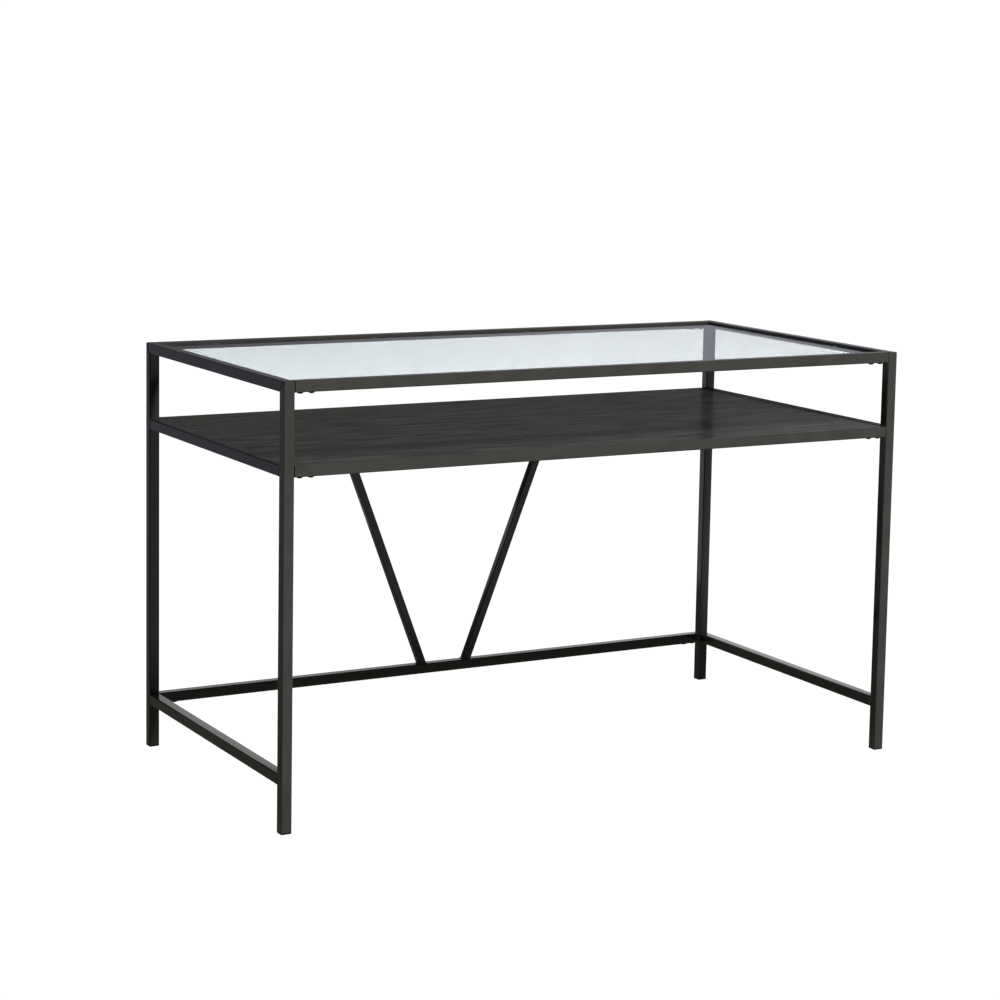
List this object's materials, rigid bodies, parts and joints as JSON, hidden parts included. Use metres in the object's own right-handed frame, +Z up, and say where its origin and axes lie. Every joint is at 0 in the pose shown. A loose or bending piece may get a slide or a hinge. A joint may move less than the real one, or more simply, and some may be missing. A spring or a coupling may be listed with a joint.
{
  "type": "computer desk",
  "caption": "Rectangular desk of square steel tube with an inset glass top, an inset full-depth shelf below it for a keyboard, and a V brace at the back.",
  "frame": {"origin": "on the floor under the middle of the desk", "axes": "+Z up; +X along the length, to the right as seen from the user's side; +Y towards the back, so the user sits at -Y"},
  "size_m": [1.2192, 0.6096, 0.743],
  "materials": {
    "powder_coated_steel": "black powder coat, satin to semi-gloss",
    "hidden_steel": "black powder coat inside the frame, satin",
    "black_bolt": "black zinc plated, satin",
    "tempered_glass": "clear tempered float glass with polished edges",
    "shelf_laminate": "black ash laminate on fibreboard, matt with an embossed grain",
    "foot_plastic": "black moulded nylon, fine matt",
    "bumper_clear": "clear soft polyurethane"
  },
  "bodies": {
    "root": {"front_glass_ledge": "hidden_steel", "front_shelf_ledge": "hidden_steel", "front_shelf_rail": "powder_coated_steel", "front_top_rail": "powder_coated_steel", "glass_top": "tempered_glass", "left_brace": "powder_coated_steel", "left_front_foot_cap": "foot_plastic", "left_front_leg": "powder_coated_steel", "left_front_shelf_bolt_1": "black_bolt", "left_front_shelf_bolt_2": "black_bolt", "left_front_shelf_bracket": "hidden_steel", "left_front_top_bolt_1": "black_bolt", "left_front_top_bolt_2": "black_bolt", "left_front_top_bracket": "hidden_steel", "left_glass_ledge": "hidden_steel", "left_low_rail": "powder_coated_steel", "left_rear_foot_cap": "foot_plastic", "left_rear_leg": "powder_coated_steel", "left_rear_low_bolt_1": "black_bolt", "left_rear_low_bolt_2": "black_bolt", "left_rear_low_bracket": "hidden_steel", "left_rear_shelf_bolt_1": "black_bolt", "left_rear_shelf_bolt_2": "black_bolt", "left_rear_shelf_bracket": "hidden_steel", "left_rear_top_bolt_1": "black_bolt", "left_rear_top_bolt_2": "black_bolt", "left_rear_top_bracket": "hidden_steel", "left_shelf_rail": "powder_coated_steel", "left_top_rail": "powder_coated_steel", "rear_glass_ledge": "hidden_steel", "rear_low_rail": "powder_coated_steel", "rear_shelf_ledge": "hidden_steel", "rear_shelf_rail": "powder_coated_steel", "rear_top_rail": "powder_coated_steel", "right_brace": "powder_coated_steel", "right_front_foot_cap": "foot_plastic", "right_front_leg": "powder_coated_steel", "right_front_shelf_bolt_1": "black_bolt", "right_front_shelf_bolt_2": "black_bolt", "right_front_shelf_bracket": "hidden_steel", "right_front_top_bolt_1": "black_bolt", "right_front_top_bolt_2": "black_bolt", "right_front_top_bracket": "hidden_steel", "right_glass_ledge": "hidden_steel", "right_low_rail": "powder_coated_steel", "right_rear_foot_cap": "foot_plastic", "right_rear_leg": "powder_coated_steel", "right_rear_low_bolt_1": "black_bolt", "right_rear_low_bolt_2": "black_bolt", "right_rear_low_bracket": "hidden_steel", "right_rear_shelf_bolt_1": "black_bolt", "right_rear_shelf_bolt_2": "black_bolt", "right_rear_shelf_bracket": "hidden_steel", "right_rear_top_bolt_1": "black_bolt", "right_rear_top_bolt_2": "black_bolt", "right_rear_top_bracket": "hidden_steel", "right_shelf_rail": "powder_coated_steel", "right_top_rail": "powder_coated_steel", "shelf_board": "shelf_laminate"}
  },
  "joints": []
}
